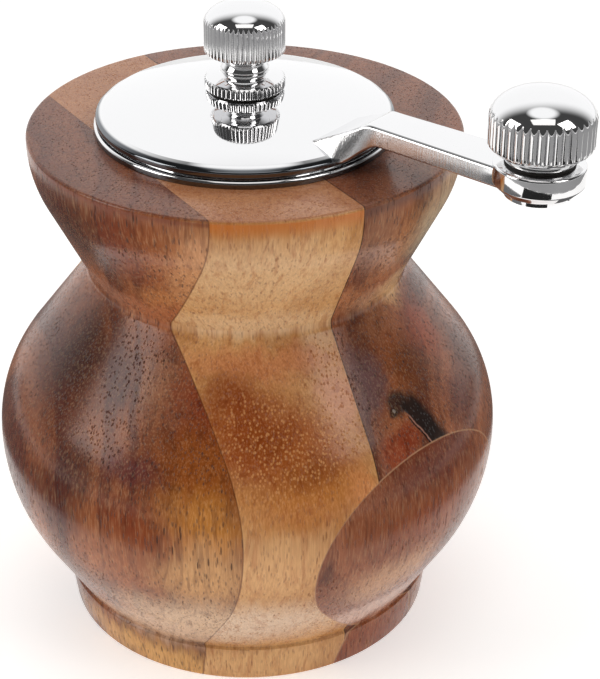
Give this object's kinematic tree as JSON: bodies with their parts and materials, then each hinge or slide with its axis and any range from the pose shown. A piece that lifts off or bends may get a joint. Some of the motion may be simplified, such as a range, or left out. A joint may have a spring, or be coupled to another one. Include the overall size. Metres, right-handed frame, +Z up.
{
  "type": "crank burr grinder",
  "caption": "Table crank mill: turned body of glued boards with an open foot, domed chrome crank lid with a spinning knob, grind adjuster, square shaft and conical burrs.",
  "frame": {"origin": "centre of the open foot, on the surface the mill stands on", "axes": "+Z up along the shaft, +X along the crank arm at rest"},
  "size_m": [0.117, 0.0942, 0.1208],
  "materials": {
    "wood_left_board": "oiled satin",
    "wood_middle_board": "oiled satin",
    "wood_right_board": "oiled satin",
    "wood_side_board": "oiled satin",
    "chrome_lid": "polished plate on zinc casting",
    "chrome_knobs": "polished plate on turned brass",
    "chrome_bezel": "polished plate on steel",
    "zinc_bridges": "zinc plated",
    "bright_steel": "drawn",
    "spring_steel": "oiled",
    "burr_steel": "hardened",
    "white_nylon": "moulded",
    "black_acetal": "moulded",
    "black_fibre": "punched",
    "bush_brass": "turned"
  },
  "bodies": {
    "mill_body": {"left_board": "wood_left_board", "side_board": "wood_side_board", "middle_board": "wood_middle_board", "right_board": "wood_right_board", "bezel_ring": "chrome_bezel", "top_bridge": "zinc_bridges", "bridge_screws": "bright_steel", "thrust_washer": "bright_steel", "burr_carrier": "black_acetal", "ring_burr": "burr_steel", "lower_bridge": "zinc_bridges", "lower_bush": "bush_brass", "burr_screws": "bright_steel"},
    "drive": {"drive_bush": "white_nylon", "spring_top_washer": "bright_steel"},
    "crank": {"crank_lid": "chrome_lid"},
    "knob": {"crank_knob": "chrome_knobs", "knob_screw": "chrome_knobs", "knob_washer": "black_fibre"},
    "adjuster": {"adjuster_knob": "chrome_knobs", "friction_washer": "black_fibre"},
    "grinder": {"drive_shaft": "bright_steel", "spring": "spring_steel", "spring_bottom_washer": "bright_steel", "shaft_clips": "spring_steel", "cone_burr": "burr_steel", "burr_nut": "bright_steel"}
  },
  "joints": [
    {"name": "crank_turn", "type": "hinge", "parent": "mill_body", "child": "drive", "pos_m": [0, 0, 0.0962], "axis": [0, 0, 1], "continuous": true},
    {"name": "lid_lift", "type": "slide", "parent": "drive", "child": "crank", "axis": [0, 0, 1], "range_m": [0, 0.03]},
    {"name": "knob_spin", "type": "hinge", "parent": "crank", "child": "knob", "pos_m": [0.0613, 0, 0.108], "axis": [0, 0, 1], "continuous": true},
    {"name": "adjuster_turn", "type": "hinge", "parent": "crank", "child": "adjuster", "pos_m": [0, 0, 0.105], "axis": [0, 0, 1], "range_deg": [-185, 365]},
    {"name": "grind_setting", "type": "slide", "parent": "drive", "child": "grinder", "axis": [0, 0, 1], "range_m": [-0.0008, 0.0004], "deforming": ["spring"]}
  ],
  "couplings": [
    {"joint": "adjuster_turn", "follows": "grind_setting", "rad_per_m": -7854}
  ]
}
